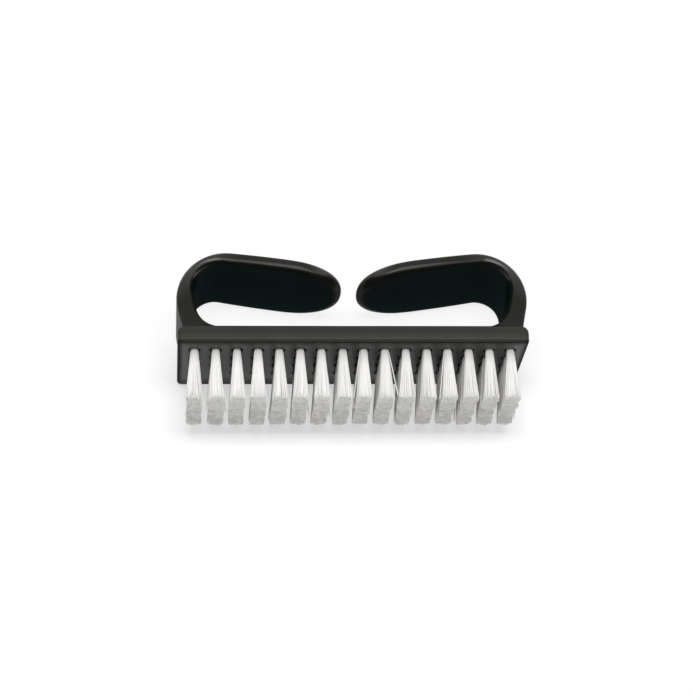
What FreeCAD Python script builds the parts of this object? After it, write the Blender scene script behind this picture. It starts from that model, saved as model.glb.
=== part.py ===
import FreeCAD, Part
import math
import os

# Nail brush lying on its long side, as it is photographed.
# X runs along the block, Y from the bristles to the handle, Z up from the floor.
# The origin is the middle of the block's lower long side. Lengths are in mm.

V = FreeCAD.Vector

# Block
block_length = 95.0
block_width = 33.0
block_thickness = 4.9
corner_round = 1.2
rim_round = 0.8

# Handle arms: a leg from each end of the block, a bend and a flat tongue
leg_inset = 1.3
leg_lean_deg = 12.0
leg_thickness = 5.0
foot_inset = 0.3
root_radius = 5.4
root_sink = 0.3
foot_depth = 2.0
bend_height = 8.9
bend_radius = 13.0
bend_tightening = 1.0
lead_run = 1.0
bend_inset = 2.0
arm_slope_deg = 8.0
arm_thickness = 3.1
arm_gap = 4.3
edge_round = 1.5

# Tuft field
end_margin = 4.0
rows = 4
tuft_pitch = 5.72
field_offset = 1.7

# Holes, tufts and anchors
hole_diameter = 2.6
hole_depth = 3.6
tuft_clearance = 0.05
tuft_length = 14.5
tip_width = 4.0
tip_height = 5.2
tuft_sides = 10
anchor_thickness = 0.4
anchor_height = 1.6
fold_height = 0.8

# How far cutting tools run past the faces they cut
overrun = 1.0

# A rim is rounded by three narrow bevels that touch the true round. These are
# their reaches from the sharp edge, in shares of the round's radius.
middle_bevel_share = 2 - math.sqrt(2)
long_bevel_share = 1 - math.tan(math.pi / 16)
short_bevel_share = long_bevel_share * math.tan(math.pi / 8)

front_y = -block_thickness / 2
back_y = block_thickness / 2
mid_z = block_width / 2
lean = math.radians(leg_lean_deg)
slope = math.radians(arm_slope_deg)
UP = V(0, 0, 1)


def lines_and_arcs(*stretches):
    """Closed wire: a stretch of two points is a line, of three an arc."""
    edges = []
    for points in stretches:
        if len(points) == 3:
            edges.append(Part.Arc(*points).toShape())
        elif not points[0].isEqual(points[1], Part.Precision.confusion()):
            edges.append(Part.makeLine(*points))
    return Part.Wire(edges)


def crest(centre, start, end):
    """Middle of the shorter arc from start to end round the centre."""
    halfway = (start - centre) + (end - centre)
    return centre + halfway.normalize() * (start - centre).Length


def sharp_edges(shape, above_y):
    """Edges where two faces meet at a corner, apart from those of a hidden foot."""
    found = []
    for edge in shape.Edges:
        if edge.BoundBox.YMax < above_y:
            continue
        middle = edge.valueAt((edge.FirstParameter + edge.LastParameter) / 2)
        normals = []
        for face in shape.ancestorsOfType(edge, Part.Face):
            normals.append(face.normalAt(*face.Surface.parameter(middle)))
        if len(normals) == 2 and normals[0].cross(normals[1]).Length > math.sin(math.pi / 6):
            found.append(edge)
    return found


def rounded(shape, radius, above_y):
    """Round every sharp rim: what three bevelled copies of the shape have in common."""
    edges = sharp_edges(shape, above_y)
    middle = middle_bevel_share * radius
    long = long_bevel_share * radius
    short = short_bevel_share * radius
    bevelled = shape.makeChamfer(middle, edges)
    for reaches in ((long, short), (short, long)):
        bevelled = bevelled.common(shape.makeChamfer(*reaches, edges))
    return bevelled.removeSplitter()


def block():
    """The plain block, rounded at its corners and round both rims."""
    box = Part.makeBox(block_length, block_thickness, block_width,
                       V(-block_length / 2, front_y, 0))
    corners = [e for e in box.Edges if e.BoundBox.YLength > block_thickness / 2]
    return rounded(box.makeFillet(corner_round, corners), rim_round, front_y)


# Directions along, across and into the strip, on the leg and on the arm
leg_way = V(math.sin(lean), math.cos(lean), 0)
leg_in = V(-math.cos(lean), math.sin(lean), 0)
arm_way = V(-math.cos(slope), -math.sin(slope), 0)
arm_in = V(math.sin(slope), -math.cos(slope), 0)

# Outer line: leg, bend and arm
leg_start = V(block_length / 2 - leg_inset, back_y, 0)
leg_run = (bend_height - bend_radius * math.sin(lean)) / math.cos(lean)
leg_end = leg_start + leg_way * leg_run
bend_centre = leg_end + leg_in * bend_radius
arm_start = bend_centre - arm_in * bend_radius

# Inner line, tangent to both inner faces, its bend tighter than one about the same centre
inner_bend_radius = bend_radius - leg_thickness - bend_tightening
leg_inner = leg_start + leg_in * leg_thickness
arm_inner = arm_start + arm_in * arm_thickness
gap_across = (arm_inner + arm_in * inner_bend_radius) - (leg_inner + leg_in * inner_bend_radius)
along_leg = gap_across.dot(arm_in) / leg_way.dot(arm_in)
inner_centre = leg_inner + leg_in * inner_bend_radius + leg_way * along_leg
inner_leg_end = inner_centre - leg_in * inner_bend_radius
inner_arm_start = inner_centre - arm_in * inner_bend_radius
seam_run = max((inner_arm_start - arm_start).dot(arm_way), 0) + lead_run

# Half widths of the strip
full_half = block_width / 2
foot_half = full_half - foot_inset
bend_half = full_half - bend_inset
arm_run = (arm_start.x + arm_in.x * arm_thickness / 2 - arm_gap / 2) / math.cos(slope)

# As many columns of tufts as fit along the block
columns = int((block_length - end_margin * 2) / tuft_pitch) + 1


def leg_and_bend():
    """Side profile of root, leg and bend, trimmed to its outline seen from the end."""
    # the root's hollow round ends level, a little inside the block
    root_y = back_y - root_sink + root_radius
    rise = (root_y - leg_inner.y - leg_in.y * root_radius) / leg_way.y
    root_centre = leg_inner + leg_in * root_radius + leg_way * rise
    root_top = root_centre - leg_in * root_radius
    root_end = root_centre - V(0, root_radius, 0)
    toe = V(root_centre.x, back_y - foot_depth, 0)
    heel = leg_start - leg_way * (foot_depth / leg_way.y)
    seam_outer = arm_start + arm_way * seam_run
    seam_inner = arm_inner + arm_way * seam_run
    profile = lines_and_arcs(
        (heel, leg_end),
        (leg_end, crest(bend_centre, leg_end, arm_start), arm_start),
        (arm_start, seam_outer),
        (seam_outer, seam_inner),
        (seam_inner, inner_arm_start),
        (inner_arm_start, crest(inner_centre, inner_arm_start, inner_leg_end), inner_leg_end),
        (inner_leg_end, root_top),
        (root_top, crest(root_centre, root_top, root_end), root_end),
        (root_end, toe),
        (toe, heel))
    strip = Part.Face(profile).extrude(UP * block_width)

    # outline: widest at the foot, narrowing on an arc to the bend
    start = heel + leg_in * -overrun
    waist = leg_end + leg_in * -overrun
    top = waist + leg_way * (bend_radius * 2)
    fall = foot_half - bend_half
    run = (waist - start).Length
    sweep = (run ** 2 + fall ** 2) / (2 * fall)
    low_centre = waist + UP * (mid_z - bend_half - sweep)
    high_centre = waist + UP * (mid_z + bend_half + sweep)
    low_foot = start + UP * (mid_z - foot_half)
    low_waist = waist + UP * (mid_z - bend_half)
    low_top = top + UP * (mid_z - bend_half)
    high_top = top + UP * (mid_z + bend_half)
    high_waist = waist + UP * (mid_z + bend_half)
    high_foot = start + UP * (mid_z + foot_half)
    outline = lines_and_arcs(
        (low_foot, crest(low_centre, low_foot, low_waist), low_waist),
        (low_waist, low_top),
        (low_top, high_top),
        (high_top, high_waist),
        (high_waist, crest(high_centre, high_waist, high_foot), high_foot),
        (high_foot, low_foot))
    depth = bend_radius * 2 + overrun * 2
    return strip.common(Part.Face(outline).extrude(leg_in * depth))


def tongue():
    """The flat arm: widens on an S of two arcs and ends in a half circle."""
    widest = arm_run - full_half
    run = (widest - seam_run) / 2
    rise = (full_half - bend_half) / 2
    sweep = (run ** 2 + rise ** 2) / (2 * rise)

    def at(along, half):
        return arm_start + arm_way * along + UP * (mid_z + half)

    def side(sign):
        narrow = at(seam_run, sign * bend_half)
        middle = at(seam_run + run, sign * (bend_half + rise))
        wide = at(widest, sign * full_half)
        first = crest(at(seam_run, sign * (bend_half + sweep)), narrow, middle)
        second = crest(at(widest, sign * (full_half - sweep)), middle, wide)
        return narrow, first, middle, second, wide

    a = side(-1)
    b = side(1)
    tip = at(arm_run, 0)
    outline = lines_and_arcs(
        (a[0], a[1], a[2]),
        (a[2], a[3], a[4]),
        (a[4], tip, b[4]),
        (b[4], b[3], b[2]),
        (b[2], b[1], b[0]),
        (b[0], a[0]))
    return Part.Face(outline).extrude(arm_in * arm_thickness)


def arm():
    """The right arm with its rim rounded all the way round."""
    strip = leg_and_bend().fuse(tongue()).removeSplitter()
    return rounded(strip, edge_round, back_y)


def tuft_places():
    """Mouth centre of every hole, column by column."""
    places = []
    for column in range(columns):
        x = (column - (columns - 1) / 2) * tuft_pitch
        column_places = []
        for row in range(rows):
            z = mid_z + field_offset + (row - (rows - 1) / 2) * tuft_pitch
            column_places.append(V(x, front_y, z))
        places.append(column_places)
    return places


def anchor():
    """Flat strip across the hole, wedged between two opposite flats."""
    top = hole_depth - fold_height - anchor_height
    return Part.makeBox(hole_diameter, anchor_height, anchor_thickness,
                        V(-hole_diameter / 2, top, -anchor_thickness / 2))


def ring(y, half_width, spread):
    """Many sided outline at one depth, measured across flats, its halves spread in Z."""
    radius = half_width / math.cos(math.pi / tuft_sides)
    points = []
    for k in range(tuft_sides):
        a = 2 * math.pi * (k + 0.5) / tuft_sides
        shift = math.copysign(spread, math.sin(a))
        points.append(V(radius * math.cos(a), y, radius * math.sin(a) + shift))
    return points


def skin(rings):
    """Solid with flat faces through a row of rings."""
    faces = [Part.Face(Part.makePolygon(r + r[:1])) for r in (rings[0], rings[-1])]
    for near, far in zip(rings, rings[1:]):
        for k in range(tuft_sides):
            n = (k + 1) % tuft_sides
            corners = [near[k], near[n], far[n], far[k], near[k]]
            faces.append(Part.Face(Part.makePolygon(corners)))
    return Part.makeSolid(Part.makeShell(faces))


def hole():
    """Blind hole for one tuft."""
    return skin([ring(-overrun, hole_diameter / 2, 0), ring(hole_depth, hole_diameter / 2, 0)])


def tuft():
    """Folded bundle: a plug in the hole, then a flare to the trimmed tips."""
    root = hole_diameter / 2 - tuft_clearance
    tip = tip_width / 2
    spread = tip_height / 2 - tip / math.cos(math.pi / tuft_sides)
    bundle = skin([ring(hole_depth, root, 0), ring(0, root, 0), ring(-tuft_length, tip, spread)])
    return bundle.cut(anchor())


def moved(shape, place):
    copy = shape.copy()
    copy.translate(place)
    return copy


os.makedirs("parts", exist_ok=True)
places = tuft_places()

right_arm = arm()
left_arm = right_arm.mirror(V(0, 0, 0), V(1, 0, 0))
body = block().fuse([right_arm, left_arm]).removeSplitter()
body = body.cut([moved(hole(), p) for column in places for p in column])
body.exportStep("parts/brush_body.step")

one_tuft = tuft()
one_anchor = anchor()
for number, column in enumerate(places, 1):
    tufts = Part.makeCompound([moved(one_tuft, p) for p in column])
    tufts.exportStep("parts/tuft_column_%02d.step" % number)
    anchors = Part.makeCompound([moved(one_anchor, p) for p in column])
    anchors.exportStep("parts/anchor_column_%02d.step" % number)

print("body solids", len(body.Solids), "valid", body.isValid(), "volume", round(body.Volume, 1))
print("tuft volume", round(one_tuft.Volume, 2), "valid", one_tuft.isValid())
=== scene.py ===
# %% [markdown]
# # A nail brush, dressed in Blender
# The brush lies on the long side of its block: a slim black moulding with two bent
# handle arms, and rows of white bristle tufts. The CAD model is the frame. It gives every
# place and size, and this lesson builds finer pieces around it, all in metres.

# %% Load the frame
import math

import bmesh
import bpy
import numpy as np
from mathutils import Matrix, Vector


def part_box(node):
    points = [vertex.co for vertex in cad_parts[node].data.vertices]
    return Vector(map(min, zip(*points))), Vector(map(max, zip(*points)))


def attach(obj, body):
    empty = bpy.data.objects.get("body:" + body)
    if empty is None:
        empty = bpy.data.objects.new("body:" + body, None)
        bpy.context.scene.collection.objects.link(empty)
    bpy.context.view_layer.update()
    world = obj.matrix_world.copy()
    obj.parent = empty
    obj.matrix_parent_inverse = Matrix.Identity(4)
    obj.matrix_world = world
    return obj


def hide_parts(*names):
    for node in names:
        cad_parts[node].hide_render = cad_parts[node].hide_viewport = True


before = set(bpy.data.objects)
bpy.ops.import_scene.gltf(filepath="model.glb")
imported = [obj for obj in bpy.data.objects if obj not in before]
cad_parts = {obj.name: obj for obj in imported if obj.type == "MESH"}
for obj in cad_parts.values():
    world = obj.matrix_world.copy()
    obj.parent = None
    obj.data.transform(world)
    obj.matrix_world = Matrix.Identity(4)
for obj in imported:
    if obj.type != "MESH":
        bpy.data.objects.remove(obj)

MM = 0.001
scene = bpy.context.scene
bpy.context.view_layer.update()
print("frame nodes", len(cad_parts))

# %% [markdown]
# ## Camera
# A picture can only be compared with another from the same viewpoint. The camera stands
# high in front of the bristles, a little to the left, and is rolled so that the block lies
# level in the picture. A matrix of three directions sets all of that at once, where three
# turning angles would have to be guessed one after another.

# %% Camera
camera_place = Vector((-50.68, -243.26, 644.75)) * MM
camera_target = Vector((0, 1.647, 16.515)) * MM
camera_roll = math.radians(10.926)
camera_lens = 126.19
camera_near = 10 * MM

towards = (camera_place - camera_target).normalized()
level = Vector((0, 0, 1)).cross(towards).normalized()
upright = towards.cross(level)
right = level * math.cos(camera_roll) + upright * math.sin(camera_roll)
up = upright * math.cos(camera_roll) - level * math.sin(camera_roll)
lens = bpy.data.cameras.new("photo_camera")
lens.lens = camera_lens
lens.clip_start = camera_near
camera = bpy.data.objects.new("photo_camera", lens)
turn = Matrix((right, up, towards)).transposed().to_4x4()
camera.matrix_world = Matrix.Translation(camera_place) @ turn
scene.collection.objects.link(camera)
scene.camera = camera
print("camera distance", round((camera_place - camera_target).length, 3))

# %% [markdown]
# ## Shader maths as Python
# Node trees are hard to read as calls that add nodes and links. One small class wraps a
# socket, so that a sum of two sockets is written as a sum and adds its own Math node. Every
# other node comes from one method: its settings first, then its values and links.

# %% Socket class
class Wire:
    """An output socket of a node tree that can be used in sums and products."""

    def __init__(self, tree, socket=None):
        self.tree = tree
        self.socket = socket

    def add(self, kind, settings=None, inputs=None, output=0):
        """Add a node and return the wire of one of its outputs."""
        node = self.tree.nodes.new(kind)
        for name, value in (settings or {}).items():
            setattr(node, name, value)
        for name, value in (inputs or {}).items():
            if isinstance(value, Wire):
                self.tree.links.new(value.socket, node.inputs[name])
            else:
                node.inputs[name].default_value = value
        if len(node.outputs):
            return Wire(self.tree, node.outputs[output])

    def maths(self, operation, first, second):
        """A Math node of two wires or numbers."""
        return self.add("ShaderNodeMath", {"operation": operation}, {0: first, 1: second})

    def __add__(self, other):
        return self.maths("ADD", self, other)

    def __sub__(self, other):
        return self.maths("SUBTRACT", self, other)

    def __rsub__(self, other):
        return self.maths("SUBTRACT", other, self)

    def __mul__(self, other):
        return self.maths("MULTIPLY", self, other)

    __radd__ = __add__
    __rmul__ = __mul__

    def blend(self, first, second):
        """A colour between two colours, with this wire as the factor."""
        settings = {"data_type": "RGBA", "clamp_factor": True}
        return self.add("ShaderNodeMix", settings, {0: self, 6: first, 7: second}, output=2)


def new_material(name):
    """An empty material and a wire to start its tree from."""
    material = bpy.data.materials.new(name)
    material.use_nodes = True
    material.node_tree.nodes.clear()
    return material, Wire(material.node_tree)


print("socket class ready")

# %% [markdown]
# ## White ground
# The brush was pictured on a white ground in soft light. A white world lights it faintly from
# all round, as a light tent does. The floor is a plain pale plane. What a camera sees of it
# is lifted towards white with Light Path, so that the ground is white without any more light
# on the brush. Near the brush the lift is only a part of the floor's look, so its shadow
# stays. Behind the brush, under the arms, the lift is stronger: painted light that wipes out
# most of the arms' shadow there. Further off it grows until the floor has no far edge.

# %% White ground
floor_size = 1.6
floor_lift_share = 0.5
# painted light: behind the brush the floor is lifted further, over the arms' shadow
painted_back_lift_share = 0.84
painted_back_lift_ends = 0.012
far_lift_starts = 0.10
far_lift_ends = 0.40
world_level = 0.48
ground_colour = (0.9, 0.9, 0.9, 1)
pure_white = (1, 1, 1, 1)

scene.view_settings.view_transform = "Standard"

world = bpy.data.worlds.new("light_tent")
world.use_nodes = True
world.node_tree.nodes.clear()
tent = Wire(world.node_tree)


def seen_directly(start):
    """1 for rays from the camera, or by way of a mirror or glass, else 0."""
    camera_ray = start.add("ShaderNodeLightPath", output="Is Camera Ray")
    glossy_ray = start.add("ShaderNodeLightPath", output="Is Glossy Ray")
    clear_ray = start.add("ShaderNodeLightPath", output="Is Transmission Ray")
    either = start.maths("MAXIMUM", camera_ray, glossy_ray)
    return start.maths("MAXIMUM", either, clear_ray)


strength = seen_directly(tent) * (1 - world_level) + world_level
glow = tent.add("ShaderNodeBackground", None, {"Color": pure_white, "Strength": strength})
tent.add("ShaderNodeOutputWorld", None, {"Surface": glow})
scene.world = world

floor_mesh = bpy.data.meshes.new("floor")
half = floor_size / 2
corners = [(-half, -half, 0), (half, -half, 0), (half, half, 0), (-half, half, 0)]
floor_mesh.from_pydata(corners, [], [(0, 1, 2, 3)])
floor = bpy.data.objects.new("floor", floor_mesh)
scene.collection.objects.link(floor)
white_ground, start = new_material("white_ground")
matt = start.add("ShaderNodeBsdfDiffuse", None, {"Color": ground_colour})
white = start.add("ShaderNodeEmission", None, {"Color": pure_white, "Strength": 1.0})
ground_place = start.add("ShaderNodeTexCoord", output="Object")
distance = start.add("ShaderNodeVectorMath", {"operation": "LENGTH"}, {0: ground_place}, output="Value")
far_lift = start.add("ShaderNodeMapRange", None, {
    "Value": distance, "From Min": far_lift_starts, "From Max": far_lift_ends, "To Min": 0.0})
behind = start.add("ShaderNodeSeparateXYZ", None, {0: ground_place}, output="Y")
# painted light behind the brush, where the arms' shadow falls
painted_back_light = start.add("ShaderNodeMapRange", None, {
    "Value": behind, "From Min": 0.0, "From Max": painted_back_lift_ends,
    "To Min": floor_lift_share, "To Max": painted_back_lift_share})
lift = seen_directly(start) * start.maths("MAXIMUM", far_lift, painted_back_light)
start.add("ShaderNodeOutputMaterial", None,
          {"Surface": start.add("ShaderNodeMixShader", None, {0: lift, 1: matt, 2: white})})
floor_mesh.materials.append(white_ground)
print("floor", floor_size, "world", world_level)

# %% [markdown]
# ## Lamps
# One lamp overhead does most of the work. It hangs a little behind the brush, so it reaches
# down between the arms, and the soft shadow falls forwards and stays close. Black plastic
# shows its roundness only by what it mirrors, so a tall pale panel leans over the front of
# the brush. It is seen in the gloss alone, and the lamp is kept out of the gloss, where it
# would be a hard white streak.

# %% Lamps
lamp_height = 1.1
lamp_behind = 0.045
lamp_width = 0.60
lamp_depth = 0.22
lamp_power = 9.8
panel_distance = 0.6
panel_tilt = math.radians(46)
panel_width = 0.5
panel_height = 0.80
panel_power = 4.7


def area_lamp(name, size, power, place, tilt):
    """An area lamp that no camera sees, turned about X by its tilt."""
    data = bpy.data.lights.new(name, "AREA")
    data.shape = "RECTANGLE"
    data.size, data.size_y = size
    data.energy = power
    made = bpy.data.objects.new(name, data)
    made.location = place
    made.rotation_euler.x = tilt
    made.visible_camera = False
    scene.collection.objects.link(made)
    return made


lamp = area_lamp("overhead_lamp", (lamp_width, lamp_depth), lamp_power, (0, lamp_behind, lamp_height), 0)
lamp.visible_glossy = False
panel_place = (0, -panel_distance * math.sin(panel_tilt), panel_distance * math.cos(panel_tilt))
panel = area_lamp("gloss_panel", (panel_width, panel_height), panel_power, panel_place, panel_tilt)
panel.visible_diffuse = False
print("lamp", lamp_power, "panel", panel_power)

# %% [markdown]
# ## Black moulded plastic
# The block and its arms are one moulding in black plastic. A single black would look like
# a hole in the picture: what shows is the gloss. Here the gloss is not even, and it is laid
# out as painted light: painted highlights on the bends, near the ends of the arms and along
# the front edge of the block's top, and painted shade on the inner faces, the rim under the
# top, the mouths of the holes and the very ends of the arms. The front between the tufts is
# in between. The mesh carries this as an attribute named gloss. It sets the weight of a clear
# coat, and shifts the black from cool on dull faces to warm on glossy ones: a painted shade
# and a painted light. A second attribute marks the front, where a paler black is painted
# light over the shade of the tufts; round the hole mouths it is left out. The roughness
# drifts a little, and a fine bump gives the skin of a mould.

# %% Black plastic
# painted shade and painted light: a cool black for faces in shade, a warm one for lit faces
shaded_face_blacks = (0.0020, 0.0140, 0.0130, 1), (0.0040, 0.0200, 0.0190, 1)
lit_face_blacks = (0.0084, 0.0083, 0.0066, 1), (0.0112, 0.0110, 0.0090, 1)
# painted light: a paler black for the front, over the shade between the tufts
front_light_grey = (0.045, 0.045, 0.042, 1)
cloud_scale = 90.0
grain_scale = 2600.0
grain_height = 0.05 * MM
lit_gain = 12.0
lit_start = 0.4
coat_weight = 0.64
coat_drift = 0.22
coat_roughness = 0.24
coat_ior = 1.6
skin_roughness = 0.45
roughness_drift = 0.15
grain_strength = 0.05


def black_plastic():
    """Black plastic under a clear coat that the gloss attribute makes stronger or weaker, with a painted
    light and shade in its black.
    """
    material, start = new_material("black_plastic")
    place = start.add("ShaderNodeTexCoord", output="Object")
    gloss = start.add("ShaderNodeAttribute", {"attribute_name": "gloss"}, output="Fac")
    cloud = start.add("ShaderNodeTexNoise", None,
                      {"Vector": place, "Scale": cloud_scale, "Detail": 4.0})
    grain = start.add("ShaderNodeTexNoise", None,
                      {"Vector": place, "Scale": grain_scale, "Detail": 2.0})
    # painted shade on dull faces, painted light on glossy ones
    shade_painted_black = cloud.blend(*shaded_face_blacks)
    light_painted_black = cloud.blend(*lit_face_blacks)
    # painted light on the front, where the tufts shade it
    film = start.add("ShaderNodeAttribute", {"attribute_name": "film"}, output="Fac")
    black = (gloss * lit_gain - lit_start).blend(shade_painted_black, light_painted_black)
    bump = start.add("ShaderNodeBump", None,
                     {"Strength": grain_strength, "Distance": grain_height, "Height": grain})
    shader = start.add("ShaderNodeBsdfPrincipled", None, {
        "Base Color": film.blend(black, front_light_grey),
        "Roughness": skin_roughness + cloud * roughness_drift,
        "Specular IOR Level": 0.0,
        "Coat Weight": gloss * (coat_weight + cloud * coat_drift),
        "Coat Roughness": coat_roughness,
        "Coat IOR": coat_ior,
        "Normal": bump})
    start.add("ShaderNodeOutputMaterial", None, {"Surface": shader})
    return material


plastic = black_plastic()
print("material", plastic.name)

# %% [markdown]
# ## Handle arm
# Each arm is a flat strip that rises from the end of the block, bends and reaches inwards,
# where it widens into a round-ended tongue. It is made as one skin: the side view gives an
# outer and an inner line, the outline gives the half width at each place along them, and the
# rim is a round that follows the outline. Sweeping a section would pinch at the round
# end, and a bevel on a bent box is uneven, so the strip is laid out flat and then bent.

# %% Side lines of the arm
block_length = 95.0 * MM
block_thickness = 4.9 * MM
block_low, block_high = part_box("brush_body")
block_width = block_high.z - block_low.z
mid_z = (block_high.z + block_low.z) / 2
front_y = block_low.y
back_y = front_y + block_thickness

leg_inset = 1.3 * MM
leg_lean = math.radians(12.0)
leg_thickness = 5.0 * MM
root_radius = 8.6 * MM
root_sink = 0.3 * MM
foot_depth = 2.0 * MM
bend_height = 8.9 * MM
bend_radius = 13.0 * MM
inner_bend_radius = 7.0 * MM
arm_slope = math.radians(8.0)
arm_thickness = 3.1 * MM
arm_gap = 4.3 * MM
stretch_points = 60

leg_way = Vector((math.sin(leg_lean), math.cos(leg_lean)))
leg_in = Vector((-leg_way.y, leg_way.x))
arm_way = Vector((-math.cos(arm_slope), -math.sin(arm_slope)))
arm_in = Vector((-arm_way.y, arm_way.x))


def meeting(place, way, other, other_way):
    """How far along one line it meets another."""
    return (other - place).cross(other_way) / way.cross(other_way)


def stretch(start, end, count):
    """Points on the line from start towards end, without the end."""
    return [start.lerp(end, k / count) for k in range(count)]


def round_stretch(centre, start, end, count):
    """Points on the shorter arc from start to end round the centre."""
    turn = (start - centre).angle_signed(end - centre)
    return [centre + Matrix.Rotation(-turn * k / count, 2) @ (start - centre) for k in range(count)]


def side_lines(count):
    """Matching points of the outer and the inner line, from the foot to the arm's end."""
    start = Vector((block_length / 2 - leg_inset, back_y))
    leg_run = (bend_height - bend_radius * leg_way.x) / leg_way.y
    leg_end = start + leg_way * leg_run
    centre = leg_end + leg_in * bend_radius
    arm_start = centre - arm_in * bend_radius
    heel = start - leg_way * (foot_depth / leg_way.y)
    arm_run = (arm_start.x + arm_in.x * arm_thickness / 2 - arm_gap / 2) / -arm_way.x
    outer_end = arm_start + arm_way * arm_run

    leg_inner = start + leg_in * leg_thickness
    arm_inner = arm_start + arm_in * arm_thickness
    beside_leg = leg_inner + leg_in * inner_bend_radius
    beside_arm = arm_inner + arm_in * inner_bend_radius
    inner_centre = beside_leg + leg_way * meeting(beside_leg, leg_way, beside_arm, arm_way)
    inner_leg_end = inner_centre - leg_in * inner_bend_radius
    inner_arm_start = inner_centre - arm_in * inner_bend_radius
    inner_end = outer_end + arm_in * arm_thickness

    root_level = Vector((0, back_y - root_sink + root_radius))
    beside_root = leg_inner + leg_in * root_radius
    rise = meeting(beside_root, leg_way, root_level, Vector((1, 0)))
    root_centre = beside_root + leg_way * rise
    root_top = root_centre - leg_in * root_radius
    root_end = root_centre - Vector((0, root_radius))
    share = (root_top - leg_inner).length / leg_run
    mouth = start.lerp(leg_end, share)

    outer = stretch(heel, start, count) + stretch(start, mouth, count)
    outer += stretch(mouth, leg_end, count) + round_stretch(centre, leg_end, arm_start, count)
    outer += stretch(arm_start, outer_end, count) + [outer_end]
    foot = root_end - Vector((0, foot_depth))
    inner = stretch(foot, root_end, count) + round_stretch(root_centre, root_end, root_top, count)
    inner += stretch(root_top, inner_leg_end, count)
    inner += round_stretch(inner_centre, inner_leg_end, inner_arm_start, count)
    inner += stretch(inner_arm_start, inner_end, count) + [inner_end]
    return outer, inner


outer_line, inner_line = side_lines(stretch_points)
print("side line points", len(outer_line))

# %% [markdown]
# ## Outline of the arm
# Laid out flat, the strip is an outline in two lengths: along the strip and across it. It
# widens in a slow S from the bend on, and its end is a little blunter than a half circle. A
# table holds how far along the strip each pair of points on the two lines is, so that a flat
# point can find its place on the bent strip later.

# %% Outline of the arm
foot_inset = 0.3 * MM
bend_inset = 2.0 * MM
end_bluntness = 0.88
foot_steps = 4
stretch_steps = 24
end_steps = 30

outer_table = np.array([p[:] for p in outer_line])
inner_table = np.array([p[:] for p in inner_line])
middle_table = (outer_table + inner_table) / 2
steps = np.linalg.norm(np.diff(middle_table, axis=0), axis=1)
along_table = np.concatenate(([0.0], np.cumsum(steps)))
thick_table = np.linalg.norm(outer_table - inner_table, axis=1)

full_half = block_width / 2
foot_half = full_half - foot_inset
bend_half = full_half - bend_inset
foot_along = along_table[stretch_points]
bend_along = along_table[stretch_points * 3]
seam_along = along_table[stretch_points * 4]
end_along = along_table[-1]
widest_along = end_along - full_half


def half_width(along):
    """Half the strip's width: a fall to the bend, then a slow S to the tongue."""
    if along <= foot_along:
        return foot_half
    if along <= bend_along:
        share = (bend_along - along) / (bend_along - foot_along)
        return bend_half + (foot_half - bend_half) * share * share
    share = (along - bend_along) / (widest_along - bend_along)
    rise = 2 * share * share if share < 0.5 else 1 - 2 * (1 - share) * (1 - share)
    return bend_half + (full_half - bend_half) * rise


def arm_outline():
    """One side of the outline, from the foot to the middle of the round end."""
    points = []
    for along in np.concatenate((
            np.linspace(0, foot_along, foot_steps)[:-1],
            np.linspace(foot_along, bend_along, stretch_steps)[:-1],
            np.linspace(bend_along, seam_along, stretch_steps)[:-1],
            np.linspace(seam_along, widest_along, stretch_steps)[:-1])):
        points.append((along, half_width(along)))
    for turn in np.linspace(0, math.pi / 2, end_steps):
        ahead = max(math.sin(turn), 0) ** end_bluntness
        aside = max(math.cos(turn), 0) ** end_bluntness
        points.append((widest_along + full_half * ahead, full_half * aside))
    return np.array(points)


print("arm length along the strip", round(end_along / MM, 1), "mm")

# %% [markdown]
# ## Skin of the arm
# At each point of the outline a closed ring of points goes round the strip: up the round of
# one rim, across the outer face, down the other rim and back across the inner face. On the
# inner side the round reaches further in, so that the light fades softly off it. Each flat
# point is then looked up between the outer and inner lines, which bends the strip.

# %% Skin of the arm
edge_round = 1.5 * MM
inner_reach = 2.5 * MM
rim_steps = 7
face_steps = 14
weld_distance = 0.002 * MM
# painted shade: the inner faces get almost no coat and the shaded black
inner_shade_gloss = 0.03
gloss_rise = 10
bend_highlight_run = 4 * MM
arm_end_highlight_run = 10 * MM
arm_end_highlight_peak = 6 * MM

# gloss of the outer face along the strip: painted highlights at the bend and near the round end,
# and a painted shade at its very end
gloss_places = [0, bend_along, (bend_along + seam_along) / 2, seam_along + bend_highlight_run,
                end_along - arm_end_highlight_run, end_along - arm_end_highlight_peak, end_along]
gloss_levels = [0.30, 0.34, 1.30, 0.40, 0.45, 1.20, 0.14]


def bent(along, across, share):
    """A flat point in its place on the right arm: share is 0 on the inner face, 1 on the outer."""
    place = []
    for axis in (0, 1):
        near = np.interp(along, along_table, inner_table[:, axis])
        far = np.interp(along, along_table, outer_table[:, axis])
        place.append(near + (far - near) * share)
    return Vector((place[0], place[1], mid_z + across))


def arm_section(point, inward):
    """Closed ring of points round the strip where the outline has this point, with shares."""
    along, across = point
    rims = []
    for k in range(-rim_steps, rim_steps + 1):
        turn = k / rim_steps * math.pi / 2
        inset = (inner_reach if k < 0 else edge_round) * (1 - math.cos(turn))
        where = along + inward[0] * inset
        thick = np.interp(where, along_table, thick_table)
        round_here = min(edge_round, thick / 2)
        lift = math.copysign(thick / 2 - round_here, k) if k else 0
        height = lift + round_here * math.sin(turn)
        rims.append((where, max(across + inward[1] * inset, 0), 0.5 + height / thick))
    row_shares = [1 - 2 * k / face_steps for k in range(1, face_steps)]
    ring = rims + [(rims[-1][0], rims[-1][1] * row, rims[-1][2]) for row in row_shares]
    ring += [(a, -w, s) for a, w, s in reversed(rims)]
    ring += [(rims[0][0], -rims[0][1] * row, rims[0][2]) for row in row_shares]
    return [(bent(*flat), flat[2]) for flat in ring]


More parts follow.
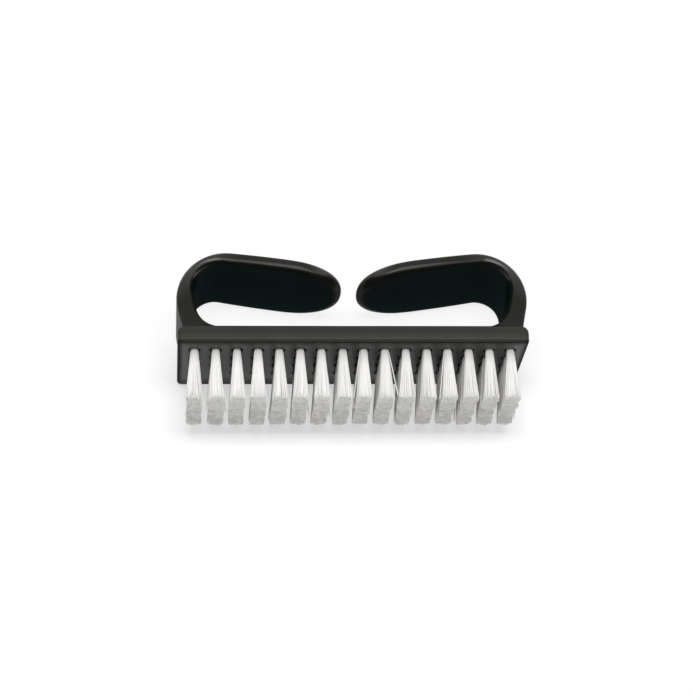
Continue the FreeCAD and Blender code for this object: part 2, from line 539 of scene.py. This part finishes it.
def add_arm(mesh, side):
    """Add the skin of the right arm, or of the left one where side is -1."""
    gloss = mesh.verts.layers.float["gloss"]
    outline = arm_outline()
    ways = np.gradient(outline, axis=0)
    ways[-1] = (0, -1)
    rings = []
    for point, way in zip(outline, ways):
        inward = np.array((way[1], -way[0])) / np.linalg.norm(way)
        ring = []
        for place, share in arm_section(point, inward):
            ring.append(mesh.verts.new((place.x * side, place.y, place.z)))
            outer_gloss = np.interp(point[0], gloss_places, gloss_levels)
            ring[-1][gloss] = inner_shade_gloss + (outer_gloss - inner_shade_gloss) * min(share * gloss_rise, 1)
        rings.append(ring)
    mesh.faces.new(rings[0])
    count = len(rings[0])
    for near, far in zip(rings, rings[1:]):
        for k in range(count):
            n = (k + 1) % count
            mesh.faces.new((near[k], near[n], far[n], far[k]))
    strip = [vert for ring in rings for vert in ring]
    bmesh.ops.remove_doubles(mesh, verts=strip, dist=weld_distance)


print("rings of the arm", len(arm_outline()))

# %% [markdown]
# ## Block with its tuft holes
# The block is a rounded plate, and its front is pierced by a grid of blind holes. Cutting
# sixty-four holes with Booleans is slow and leaves ragged faces. Here one square tile with a
# clean round hole is modelled once, Geometry Nodes lays it on a grid, and the seams of the
# tiles are merged. The plate's front is then filled between the tiles and its rim. A second
# ring of points round each hole bounds a painted shade that darkens its mouth.

# %% One tile of the front
hole_radius = 1.3 * MM
hole_lip = 0.18 * MM
lip_share = 0.3
# a ring of points this far round each hole bounds its painted shade
hole_halo = 0.55 * MM
hole_depth = 3.6 * MM
hole_sides = 24
rows = 4
columns = sum(name.startswith("tuft_column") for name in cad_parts)
tuft_boxes = [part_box("tuft_column_%02d" % (n + 1)) for n in range(columns)]
column_places = [(low.x + high.x) / 2 for low, high in tuft_boxes]
pitch = (column_places[-1] - column_places[0]) / (columns - 1)
field_z = (tuft_boxes[0][0].z + tuft_boxes[0][1].z) / 2
lowest_row = field_z - pitch * (rows - 1) / 2


def tile_mesh():
    """A square tile in the XZ plane, facing -Y, with a lipped blind hole in its middle."""
    mesh = bmesh.new()
    lip = hole_lip * lip_share
    circles = [(hole_halo, 0), (hole_lip, 0), (lip, lip), (0, hole_lip)]
    levels = [(hole_radius + wider, deep) for wider, deep in circles]
    levels.append((hole_radius, hole_depth))
    rings = []
    square = []
    for k in range(hole_sides):
        turn = 2 * math.pi * k / hole_sides
        reach = pitch / 2 / max(abs(math.cos(turn)), abs(math.sin(turn)))
        square.append(mesh.verts.new((reach * math.cos(turn), 0, reach * math.sin(turn))))
    rings.append(square)
    for radius, depth in levels:
        rings.append([mesh.verts.new((radius * math.cos(2 * math.pi * k / hole_sides), depth,
                                      radius * math.sin(2 * math.pi * k / hole_sides)))
                      for k in range(hole_sides)])
    for near, far in zip(rings, rings[1:]):
        for k in range(hole_sides):
            n = (k + 1) % hole_sides
            mesh.faces.new((near[k], near[n], far[n], far[k]))
    mesh.faces.new(rings[-1])
    data = bpy.data.meshes.new("hole_tile")
    mesh.to_mesh(data)
    mesh.free()
    return data


tile = bpy.data.objects.new("hole_tile", tile_mesh())
print("tile faces", len(tile.data.polygons), "pitch", round(pitch / MM, 2), "mm")

# %% [markdown]
# A Geometry Nodes tree is a small program. One class adds its nodes by name and joins them,
# and its last method runs the finished tree on an empty object and keeps the plain mesh, so
# that nothing is left live in the scene.

# %% Geometry Nodes helpers
class Tree:
    """A Geometry Nodes tree under construction, with named inputs."""

    def __init__(self, name):
        self.group = bpy.data.node_groups.new(name, "GeometryNodeTree")
        self.group.interface.new_socket("Geometry", in_out="OUTPUT", socket_type="NodeSocketGeometry")
        self.source = self.group.nodes.new("NodeGroupInput")
        self.identifiers = {}
        self.values = {}

    def input(self, name, kind, value):
        """A named input with the value that it will be given, and its socket."""
        item = self.group.interface.new_socket(name, in_out="INPUT", socket_type=kind)
        self.identifiers[name] = item.identifier
        self.values[name] = value
        return self.source.outputs[name]

    def add(self, kind, settings=None, inputs=None, output=0):
        """Add a node: its settings first, then the values or links of its sockets."""
        node = self.group.nodes.new(kind)
        for name, value in (settings or {}).items():
            setattr(node, name, value)
        for name, value in (inputs or {}).items():
            if isinstance(value, bpy.types.NodeSocket):
                self.group.links.new(value, node.inputs[name])
            else:
                node.inputs[name].default_value = value
        return node.outputs[output] if len(node.outputs) else None

    def maths(self, operation, *values):
        """A Math node of values or sockets."""
        return self.add("ShaderNodeMath", {"operation": operation}, dict(enumerate(values)))

    def vector(self, operation, *values):
        """A Vector Math node of values or sockets."""
        return self.add("ShaderNodeVectorMath", {"operation": operation}, dict(enumerate(values)))

    def xyz(self, x, y, z):
        """A vector from three numbers."""
        return self.add("ShaderNodeCombineXYZ", None, {0: x, 1: y, 2: z})

    def finish(self, geometry):
        """Join what the tree makes to its output."""
        sink = self.group.nodes.new("NodeGroupOutput")
        self.group.links.new(geometry, sink.inputs[0])

    def mesh(self, name, **changed):
        """Run the tree, with some inputs changed, and return what it makes as a plain mesh."""
        blank = bpy.data.meshes.new("blank")
        carrier = bpy.data.objects.new("carrier", blank)
        scene.collection.objects.link(carrier)
        modifier = carrier.modifiers.new("nodes", "NODES")
        modifier.node_group = self.group
        for label, value in {**self.values, **changed}.items():
            modifier[self.identifiers[label]] = value
        depsgraph = bpy.context.evaluated_depsgraph_get()
        made = bpy.data.meshes.new_from_object(carrier.evaluated_get(depsgraph))
        made.name = name
        bpy.data.objects.remove(carrier)
        bpy.data.meshes.remove(blank)
        return made


print("tree class ready")

# %% [markdown]
# The first tree lays the tile on a grid, stands the grid up in the block's front, makes the
# copies real and merges their seams, so that the front is one sheet with clean round holes.

# %% Sheet of tiles
seam_distance = 0.01 * MM


def hole_field():
    """The tiles of the block's front, merged into one sheet."""
    tree = Tree("hole_field")
    across = tree.input("Columns", "NodeSocketInt", columns)
    down = tree.input("Rows", "NodeSocketInt", rows)
    step = tree.input("Pitch", "NodeSocketFloat", pitch)
    one = tree.input("Tile", "NodeSocketObject", tile)
    place = tree.input("Middle", "NodeSocketVector", (0, front_y, field_z))
    shape = tree.add("GeometryNodeObjectInfo", None, {"Object": one}, output="Geometry")
    wide = tree.maths("MULTIPLY", tree.maths("SUBTRACT", across, 1.0), step)
    high = tree.maths("MULTIPLY", tree.maths("SUBTRACT", down, 1.0), step)
    grid = tree.add("GeometryNodeMeshGrid", None,
                    {"Size X": wide, "Size Y": high, "Vertices X": across, "Vertices Y": down})
    upright = tree.add("GeometryNodeTransform", None,
                       {"Geometry": grid, "Translation": place, "Rotation": (math.pi / 2, 0, 0)})
    laid = tree.add("GeometryNodeInstanceOnPoints", None, {"Points": upright, "Instance": shape})
    real = tree.add("GeometryNodeRealizeInstances", None, {"Geometry": laid})
    merged = tree.add("GeometryNodeMergeByDistance", None, {"Geometry": real, "Distance": seam_distance})
    dressed = tree.add("GeometryNodeSetMaterial", None, {"Geometry": merged, "Material": plastic})
    tree.finish(dressed)
    return tree.mesh("hole_field")


front = hole_field()
bpy.data.objects.remove(tile)
print("front faces", len(front.polygons))

# %% [markdown]
# Now the plate. Its outline is a rectangle with rounded corners, and rings that shrink
# along a quarter circle round both rims. At the back, the two ends get a larger round. The
# sheet of tiles is dropped into the open front, and a fill joins the two edges.

# %% Block
corner_round = 1.2 * MM
rim_round = 0.8 * MM
end_round = 2.0 * MM
corner_steps = 6
# painted highlight and shade on the block: a dark rim under the top, dark hole mouths, a brighter front
# edge of the top and a duller back
front_gloss = 0.72
hole_shade_gloss = 0.04
rim_shade_gloss = 0.13
side_gloss = 0.95
end_gloss = 0.55
front_edge_highlight = 1.40
back_edge_shade = 0.85


def round_off(radius, depth):
    """How far a quarter round stands back, at a depth below its face."""
    rest = max(radius - depth, 0)
    return radius - math.sqrt(radius * radius - rest * rest)


def plate_ring(inset, end_inset):
    """The block's outline in X and Z, drawn in by an inset, and by another at its ends."""
    radius = corner_round - inset * corner_round / (corner_round + rim_round)
    reach_x = block_length / 2 - end_inset - radius
    reach_z = block_width / 2 - inset - radius
    points = []
    for corner in range(4):
        for k in range(corner_steps + 1):
            turn = (corner + k / corner_steps) * math.pi / 2
            middle = (math.copysign(reach_x, math.cos((corner + 0.5) * math.pi / 2)),
                      math.copysign(reach_z, math.sin((corner + 0.5) * math.pi / 2)))
            points.append((middle[0] + radius * math.cos(turn), middle[1] + radius * math.sin(turn)))
    return points


def hole_distance(place):
    """How far a place on the front is from the middle of the nearest tuft hole."""
    aside = (place.x - column_places[0]) / pitch
    above = (place.z - lowest_row) / pitch
    return pitch * math.hypot(aside - round(aside), above - round(above))


def add_block(mesh):
    """Add the plate, with the sheet of tiles in its front."""
    levels = []
    for k in range(rim_steps + 1):
        turn = k / rim_steps * math.pi / 2
        inset = rim_round * (1 - math.sin(turn))
        levels.append((inset, inset, front_y + rim_round * (1 - math.cos(turn))))
    for k in range(rim_steps + 1):
        depth = end_round * (1 - math.sin(k / rim_steps * math.pi / 2))
        levels.append((round_off(rim_round, depth), round_off(end_round, depth), back_y - depth))
    rings = []
    for inset, end_inset, y in levels:
        rings.append([mesh.verts.new((x, y, mid_z + z)) for x, z in plate_ring(inset, end_inset)])
    count = len(rings[0])
    for near, far in zip(rings, rings[1:]):
        for k in range(count):
            n = (k + 1) % count
            mesh.faces.new((near[k], near[n], far[n], far[k]))
    mesh.faces.new(rings[-1])
    gloss = mesh.verts.layers.float["gloss"]
    film = mesh.verts.layers.float["film"]
    for k, ring in enumerate(rings):
        reach = max(vert.co.x for vert in ring)
        for vert in ring:
            # painted light: the first ring of the front gets the paler black
            vert[film] = 1.0 if k == 0 else 0.0
            at_end = abs(vert.co.x) > reach - corner_round / 2
            face_gloss = end_gloss if at_end else side_gloss
            # painted highlight along the front edge of the top, painted shade on the rim and at the back
            factor = front_edge_highlight if k == rim_steps else back_edge_shade
            vert[gloss] = rim_shade_gloss if k < rim_steps else face_gloss * factor
    mesh.from_mesh(front)
    for vert in mesh.verts:
        if not vert[gloss]:
            # painted shade round each hole mouth, the paler painted light on the rest of the front
            at_hole = hole_distance(vert.co) < hole_radius + hole_halo / 2
            vert[gloss] = hole_shade_gloss if at_hole else front_gloss
            vert[film] = 0.0 if at_hole else 1.0
    edges = [e for e in mesh.edges if e.is_boundary]
    bmesh.ops.triangle_fill(mesh, edges=edges, use_beauty=True)


print("rings of the block", 2 * (rim_steps + 1))

# %% [markdown]
# The arms' feet run into the back of the block, as one moulding. Normals weighted by face
# area keep the flats flat beside their rounds.

# %% Brush body
sharp_angle = math.radians(40)


def shaded_mesh(mesh, name):
    """A mesh with smooth rounds and crisp corners, from finished mesh data."""
    bmesh.ops.recalc_face_normals(mesh, faces=mesh.faces)
    data = bpy.data.meshes.new(name)
    mesh.to_mesh(data)
    mesh.free()
    data.shade_smooth()
    data.set_sharp_from_angle(angle=sharp_angle)
    return data


def brush_body():
    """Block and arms as one object, with weighted normals."""
    mesh = bmesh.new()
    mesh.verts.layers.float.new("gloss")
    mesh.verts.layers.float.new("film")
    add_block(mesh)
    for side in (1, -1):
        add_arm(mesh, side)
    data = shaded_mesh(mesh, "moulded_body")
    data.materials.append(plastic)
    body = bpy.data.objects.new("moulded_body", data)
    scene.collection.objects.link(body)
    weighted = body.modifiers.new("flat_faces", "WEIGHTED_NORMAL")
    weighted.keep_sharp = True
    depsgraph = bpy.context.evaluated_depsgraph_get()
    body.data = bpy.data.meshes.new_from_object(body.evaluated_get(depsgraph))
    body.modifiers.clear()
    return body


body = brush_body()
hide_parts("brush_body")
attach(body, "root")
print("body faces", len(body.data.polygons))

# %% [markdown]
# ## White nylon
# Bristles are cut nylon filaments, white and faintly warm. Every filament carries its own
# shade, and a number that runs from its root to its tip, which the material reads as
# attributes: the white is greyer near the root, a painted shade. The shade rises from the
# lowest row to the highest, a painted light from above, and differs from tuft to tuft. The cut
# ends are rough and get a material of their own, with a fine mottle of ends that catch the
# light and ends that don't.

# %% Nylon
filament_whites = (0.70, 0.692, 0.672, 1), (0.79, 0.782, 0.76, 1)
# painted shade: greyer towards the root, in the mouth of the hole
root_shade_grey = (0.46, 0.455, 0.44, 1)
root_shade_fade = 2.5
root_roughness = 0.5
tip_polish = 0.12
nylon_ior = 1.53
cut_greys = (0.46, 0.45, 0.43, 1), (0.99, 0.975, 0.945, 1)
mottle_scale = 700.0
mottle_weight = 5.0
shade_weight = 0.8
pale_start = 2.2
cut_roughness = 0.7


def nylon():
    """White nylon, with a painted shade that greys it near the root."""
    material, start = new_material("white_nylon")
    shade = start.add("ShaderNodeAttribute", {"attribute_name": "filament_shade"}, output="Fac")
    along = start.add("ShaderNodeAttribute", {"attribute_name": "filament_along"}, output="Fac")
    white = shade.blend(*filament_whites)
    shader = start.add("ShaderNodeBsdfPrincipled", None, {
        "Base Color": (along * root_shade_fade).blend(root_shade_grey, white),
        "Roughness": root_roughness - along * tip_polish,
        "IOR": nylon_ior})
    start.add("ShaderNodeOutputMaterial", None, {"Surface": shader})
    return material


def cut_nylon():
    """The rough, mottled look of the trimmed ends."""
    material, start = new_material("cut_nylon")
    shade = start.add("ShaderNodeAttribute", {"attribute_name": "filament_shade"}, output="Fac")
    place = start.add("ShaderNodeTexCoord", output="Object")
    mottle = start.add("ShaderNodeTexNoise", None,
                       {"Vector": place, "Scale": mottle_scale, "Detail": 3.0})
    pale = shade * shade_weight + mottle * mottle_weight - pale_start
    shader = start.add("ShaderNodeBsdfPrincipled", None,
                       {"Base Color": pale.blend(*cut_greys), "Roughness": cut_roughness})
    start.add("ShaderNodeOutputMaterial", None, {"Surface": shader})
    return material


bristle = nylon()
bristle_end = cut_nylon()
print("materials", bristle.name, bristle_end.name)

# %% [markdown]
# ## Tufts
# A tuft is a bundle of filaments, folded over a small metal strip and driven into its hole,
# so it leaves the hole tight and flares to a trimmed square. Placing every filament by hand
# would take thousands of copies. In Geometry Nodes each filament is a point with a root, a
# tip and a bow, and a thin cylinder is laid along them. One tree makes a column of four
# tufts. Its named inputs come first.

# %% Inputs of the tuft tree
filaments = 260
filament_radius = 0.14 * MM
root_share = 0.58
tip_half_width = 2.06 * MM
tip_half_height = 2.84 * MM
tuft_depth = 2.0 * MM
trim_spread = 0.60 * MM

tree = Tree("tuft_column")
seed = tree.input("Seed", "NodeSocketInt", 1)
mouth = tree.input("Mouth", "NodeSocketVector", (0, 0, 0))
count = tree.input("Filaments", "NodeSocketInt", filaments)
stack = tree.input("Rows", "NodeSocketInt", rows)
step = tree.input("Pitch", "NodeSocketFloat", pitch)
reach_out = front_y - tuft_boxes[0][0].y - trim_spread / 2
length = tree.input("Length", "NodeSocketFloat", reach_out)
depth = tree.input("Depth", "NodeSocketFloat", tuft_depth)
root = tree.input("Root Radius", "NodeSocketFloat", hole_radius * root_share)
wide = tree.input("Tip Half Width", "NodeSocketFloat", tip_half_width)
high = tree.input("Tip Half Height", "NodeSocketFloat", tip_half_height)
thin = tree.input("Filament Radius", "NodeSocketFloat", filament_radius)
print("inputs of the tree", len(tree.values))

# %% [markdown]
# The number of a point tells its tuft and its place in the bundle, which is a sunflower
# spiral: it fills a disc evenly with any count. At the tip the disc is drawn out towards its
# corners, to a rounded square, so that the tufts of a column meet.

# %% Places of the filaments
corner_fill = 0.60
golden_turn = math.pi * (3 - math.sqrt(5))

total = tree.maths("MULTIPLY", count, stack)
points = tree.add("GeometryNodeMeshLine", None, {"Count": total, "Offset": (0, 0, 0)})
index = tree.add("GeometryNodeInputIndex")
tuft = tree.maths("FLOOR", tree.maths("DIVIDE", index, count))
inside = tree.maths("SUBTRACT", index, tree.maths("MULTIPLY", tuft, count))
share = tree.maths("DIVIDE", tree.maths("ADD", inside, 0.5), count)
reach = tree.maths("SQRT", share)
turn = tree.maths("MULTIPLY_ADD", inside, golden_turn, tuft)
aside = tree.maths("COSINE", turn)
above = tree.maths("SINE", turn)
spot = tree.xyz(tree.maths("MULTIPLY", reach, aside), 0.0, tree.maths("MULTIPLY", reach, above))
centre = tree.vector("ADD", mouth, tree.xyz(0.0, 0.0, tree.maths("MULTIPLY", tuft, step)))

longer = tree.maths("MAXIMUM", tree.maths("ABSOLUTE", aside), tree.maths("ABSOLUTE", above))
square = tree.maths("POWER", longer, -corner_fill)
spread = tree.xyz(tree.maths("MULTIPLY", wide, square), 0.0, tree.maths("MULTIPLY", high, square))
print("filaments of a column", filaments * rows)

# %% [markdown]
# No bundle is perfect. A tuft leans a little as a whole, each filament strays from its place
# and bows, and a few wild ones stray far. The shade of a filament is partly chance, partly a
# painted light that rises with its row, and partly its tuft. All this is stored on the points,
# with the root and the tip.

# %% Strays and shades
lean_spread = 0.20 * MM
loose_spread = 0.15 * MM
bow_spread = 0.05 * MM
wild_share = 0.025
wild_factor = 7.5
painted_row_light = 0.4
tuft_tone = 0.3
seed_step = 100.0


def random_vector(spread, salt, identity=None):
    """A random vector within plus and minus a spread."""
    inputs = {"Min": tuple(-s for s in spread), "Max": spread,
              "Seed": tree.maths("ADD", seed, seed_step * salt)}
    if identity:
        inputs["ID"] = identity
    return tree.add("FunctionNodeRandomValue", {"data_type": "FLOAT_VECTOR"}, inputs)


lean = random_vector((lean_spread, 0, lean_spread), 1, tuft)
stray = random_vector((loose_spread, trim_spread / 2, loose_spread), 2)
chance = tree.maths("ABSOLUTE", tree.add("ShaderNodeSeparateXYZ", None, {0: random_vector((1, 1, 1), 5)}))
wild = tree.maths("LESS_THAN", chance, wild_share)
grown = tree.maths("MULTIPLY_ADD", wild, wild_factor - 1, 1.0)
stray = tree.vector("MULTIPLY", stray, tree.xyz(grown, 1.0, grown))
bow = random_vector((bow_spread, 0, bow_spread), 3)
# painted light: the higher a row, the lighter its filaments, as if lit from above
middle = tree.maths("MULTIPLY_ADD", tree.maths("SUBTRACT", tuft, (rows - 1) / 2), painted_row_light, 0.5)
shade = tree.vector("MULTIPLY_ADD", random_vector((1, 1, 1), 4), (0.5, 0.5, 0.5), middle)
shade = tree.vector("ADD", shade, random_vector((tuft_tone, tuft_tone, tuft_tone), 6, tuft))
foot = tree.vector("ADD", centre, tree.vector("MULTIPLY", spot, tree.xyz(root, 0.0, root)))
foot = tree.vector("ADD", foot, tree.xyz(0.0, depth, 0.0))
top = tree.vector("ADD", centre, tree.vector("MULTIPLY", spot, spread))
top = tree.vector("SUBTRACT", top, tree.xyz(0.0, length, 0.0))
top = tree.vector("ADD", tree.vector("ADD", top, lean), stray)

for name, value in (("foot", foot), ("top", top), ("bow", bow), ("filament_shade", shade)):
    points = tree.add("GeometryNodeStoreNamedAttribute", {"data_type": "FLOAT_VECTOR"},
                      {"Geometry": points, "Name": name, "Value": value})
print("nodes so far", len(tree.group.nodes))

# %% [markdown]
# An upright cylinder stands on every point. Once the copies are real, each vertex is moved:
# its height on the cylinder says how far from root to tip it goes, and the bow is greatest
# half way. Faces that look along the bristles are the cut ends. They stay flat, and those at
# the tips get the material of cut nylon.

# %% Filaments
filament_sides = 6
filament_segments = 4
end_facing = 0.8

stick = tree.add("GeometryNodeMeshCylinder", None,
                 {"Vertices": filament_sides, "Side Segments": filament_segments,
                  "Radius": thin, "Depth": 1.0})
laid = tree.add("GeometryNodeInstanceOnPoints", None, {"Points": points, "Instance": stick})
real = tree.add("GeometryNodeRealizeInstances", None, {"Geometry": laid})


def stored(name):
    """A stored vector of each filament."""
    return tree.add("GeometryNodeInputNamedAttribute", {"data_type": "FLOAT_VECTOR"}, {"Name": name})


here = tree.add("GeometryNodeInputPosition")
split = tree.add("ShaderNodeSeparateXYZ", None, {0: here}, output="Z")
along = tree.maths("ADD", split, 0.5)
across = tree.vector("MULTIPLY", here, (1, 1, 0))
turned = tree.add("ShaderNodeVectorRotate", {"rotation_type": "X_AXIS"},
                  {"Vector": across, "Angle": math.pi / 2})
line = tree.add("ShaderNodeMix", {"data_type": "VECTOR"},
                {0: along, 4: stored("foot"), 5: stored("top")}, output=1)
rest = tree.maths("SUBTRACT", 1.0, along)
swell = tree.maths("MULTIPLY", tree.maths("MULTIPLY", along, 4.0), rest)
bowed = tree.vector("SCALE", stored("bow"))
tree.group.links.new(swell, bowed.node.inputs["Scale"])
place = tree.vector("ADD", tree.vector("ADD", line, bowed), turned)
kept = tree.add("GeometryNodeStoreNamedAttribute", None,
                {"Geometry": real, "Name": "filament_along", "Value": along})
set_down = tree.add("GeometryNodeSetPosition", None, {"Geometry": kept, "Position": place})
normal = tree.add("GeometryNodeInputNormal")
facing = tree.add("ShaderNodeSeparateXYZ", None, {0: normal}, output="Y")
ends = tree.maths("LESS_THAN", facing, -end_facing)
sides = tree.maths("LESS_THAN", tree.maths("ABSOLUTE", facing), end_facing)
smooth = tree.add("GeometryNodeSetShadeSmooth", None, {"Geometry": set_down, "Shade Smooth": sides})
dressed = tree.add("GeometryNodeSetMaterial", None, {"Geometry": smooth, "Material": bristle})
dressed = tree.add("GeometryNodeSetMaterial", None,
                   {"Geometry": dressed, "Selection": ends, "Material": bristle_end})
tree.finish(dressed)
print("nodes of the tree", len(tree.group.nodes))

# %% [markdown]
# Each column of tufts is one run of the tree, with a seed and a place of its own, so no two
# tufts are alike. Foot, top and bow are needed only while the nodes run, so these attributes
# are removed from the finished meshes.

# %% Columns of tufts
seed_base = 10

bristle_faces = 0
for number, place in enumerate(column_places, 1):
    made = tree.mesh("bristles_%02d" % number, Seed=seed_base + number,
                     Mouth=(place, front_y, lowest_row))
    for name in ("foot", "top", "bow"):
        made.attributes.remove(made.attributes[name])
    bristles = bpy.data.objects.new(made.name, made)
    scene.collection.objects.link(bristles)
    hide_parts("tuft_column_%02d" % number)
    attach(bristles, "root")
    bristle_faces += len(made.polygons)
print("bristle faces", bristle_faces)

# %% [markdown]
# ## Anchors
# The metal strips that hold the tufts sit deep in the holes. Their CAD shape is already
# right, so they stay as they are and only get a finish: steel with fine drawn lines.

# %% Anchors
steel_greys = (0.42, 0.42, 0.41, 1), (0.66, 0.66, 0.64, 1)
line_scale = (40, 4000, 4000)
steel_roughness = 0.28
line_roughness = 0.2


def drawn_steel():
    """Steel with fine lines along the strip."""
    material, start = new_material("drawn_steel")
    place = start.add("ShaderNodeTexCoord", output="Object")
    longways = start.add("ShaderNodeMapping", None, {"Vector": place, "Scale": line_scale})
    lines = start.add("ShaderNodeTexNoise", None, {"Vector": longways, "Scale": 1.0, "Detail": 3.0})
    colour = lines.blend(*steel_greys)
    shader = start.add("ShaderNodeBsdfPrincipled", None, {
        "Base Color": colour,
        "Roughness": steel_roughness + lines * line_roughness,
        "Metallic": 1.0})
    start.add("ShaderNodeOutputMaterial", None, {"Surface": shader})
    return material


steel = drawn_steel()
for name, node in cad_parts.items():
    if name.startswith("anchor_column"):
        node.data.materials.clear()
        node.data.materials.append(steel)
print("anchor nodes", sum(name.startswith("anchor_column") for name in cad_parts))

# %% [markdown]
# ## Size
# The dressed brush must stay inside the CAD model's box.

# %% Size
print("size: no boxes written")
